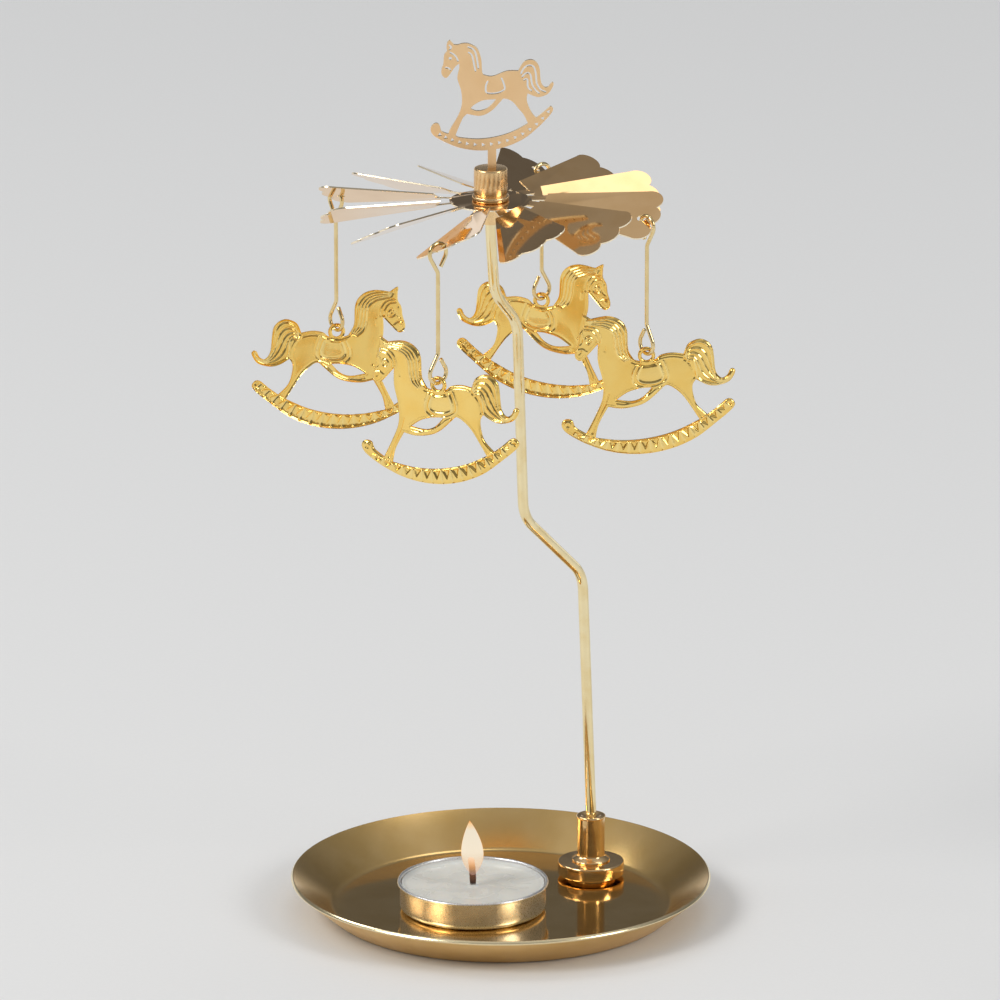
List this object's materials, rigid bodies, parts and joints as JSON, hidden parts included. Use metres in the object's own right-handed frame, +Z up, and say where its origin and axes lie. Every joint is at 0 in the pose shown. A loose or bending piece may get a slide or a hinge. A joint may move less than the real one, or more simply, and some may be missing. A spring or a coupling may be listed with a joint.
{
  "type": "rotary candle carousel",
  "caption": "Table candle carousel: a tea light in a dish drives a bladed fan that turns on a needle and carries rocking-horse pendants on wire hangers.",
  "frame": {"origin": "centre of the dish's flat underside, on the table", "axes": "+Z up along the rotor axis, -Y towards the viewer, so the horses show their flat faces along Y"},
  "size_m": [0.1199, 0.106, 0.2258],
  "materials": {
    "dish_gold": "satin outside and polished inside",
    "polished_brass": "polished",
    "stem_wire": "polished",
    "rotor_sheet": "mirror polished sheet with bright cut edges",
    "figure_sheet": "satin sheet",
    "pendant_sheet": "polished pressed sheet",
    "screw_steel": "plated",
    "candle_foil": "bright foil",
    "wax": "soft matte wax",
    "wick_cord": "charred cotton"
  },
  "bodies": {
    "base": {"dish": "dish_gold", "stem_socket": "polished_brass", "socket_screw": "screw_steel", "stem": "stem_wire"},
    "rotor": {"rotor_wheel": "rotor_sheet", "hub_cap": "polished_brass", "top_figure": "figure_sheet"},
    "tealight": {"tealight_cup": "candle_foil", "tealight_wax": "wax", "wick_sustainer": "candle_foil", "wick": "wick_cord"},
    "hanger_1": {"hanger_1": "stem_wire"},
    "pendant_1": {"pendant_1": "pendant_sheet"},
    "hanger_2": {"hanger_2": "stem_wire"},
    "pendant_2": {"pendant_2": "pendant_sheet"},
    "hanger_3": {"hanger_3": "stem_wire"},
    "pendant_3": {"pendant_3": "pendant_sheet"},
    "hanger_4": {"hanger_4": "stem_wire"},
    "pendant_4": {"pendant_4": "pendant_sheet"}
  },
  "joints": [
    {"name": "rotor_spin", "type": "hinge", "parent": "base", "child": "rotor", "pos_m": [-0.0025, -0.0024, 0.185], "axis": [0, 0, 1], "continuous": true},
    {"name": "tealight_lift", "type": "slide", "parent": "base", "child": "tealight", "axis": [0, 0, 1], "range_m": [0, 0.04]},
    {"name": "hanger_1_swing", "type": "hinge", "parent": "rotor", "child": "hanger_1", "pos_m": [-0.04093, 0.01038, 0.18193], "axis": [0.7815, 0.6239, 0], "range_deg": [-8, 35]},
    {"name": "pendant_1_rock", "type": "hinge", "parent": "hanger_1", "child": "pendant_1", "pos_m": [-0.04093, 0.01038, 0.14798], "axis": [-0.2756, 0.9613, 0], "range_deg": [-15, 15]},
    {"name": "hanger_2_swing", "type": "hinge", "parent": "rotor", "child": "hanger_2", "pos_m": [-0.01528, -0.04083, 0.18193], "axis": [-0.6239, 0.7815, 0], "range_deg": [-8, 35]},
    {"name": "pendant_2_rock", "type": "hinge", "parent": "hanger_2", "child": "pendant_2", "pos_m": [-0.01528, -0.04083, 0.14868], "axis": [-0.4384, -0.8988, 0], "range_deg": [-15, 15]},
    {"name": "hanger_3_swing", "type": "hinge", "parent": "rotor", "child": "hanger_3", "pos_m": [0.01028, 0.03603, 0.18193], "axis": [0.6239, -0.7815, 0], "range_deg": [-8, 35]},
    {"name": "pendant_3_rock", "type": "hinge", "parent": "hanger_3", "child": "pendant_3", "pos_m": [0.01028, 0.03603, 0.14898], "axis": [0.225, 0.9744, 0], "range_deg": [-15, 15]},
    {"name": "hanger_4_swing", "type": "hinge", "parent": "rotor", "child": "hanger_4", "pos_m": [0.03593, -0.01518, 0.18193], "axis": [-0.7815, -0.6239, 0], "range_deg": [-8, 35]},
    {"name": "pendant_4_rock", "type": "hinge", "parent": "hanger_4", "child": "pendant_4", "pos_m": [0.03593, -0.01518, 0.14898], "axis": [0, -1, 0], "range_deg": [-15, 15]}
  ]
}
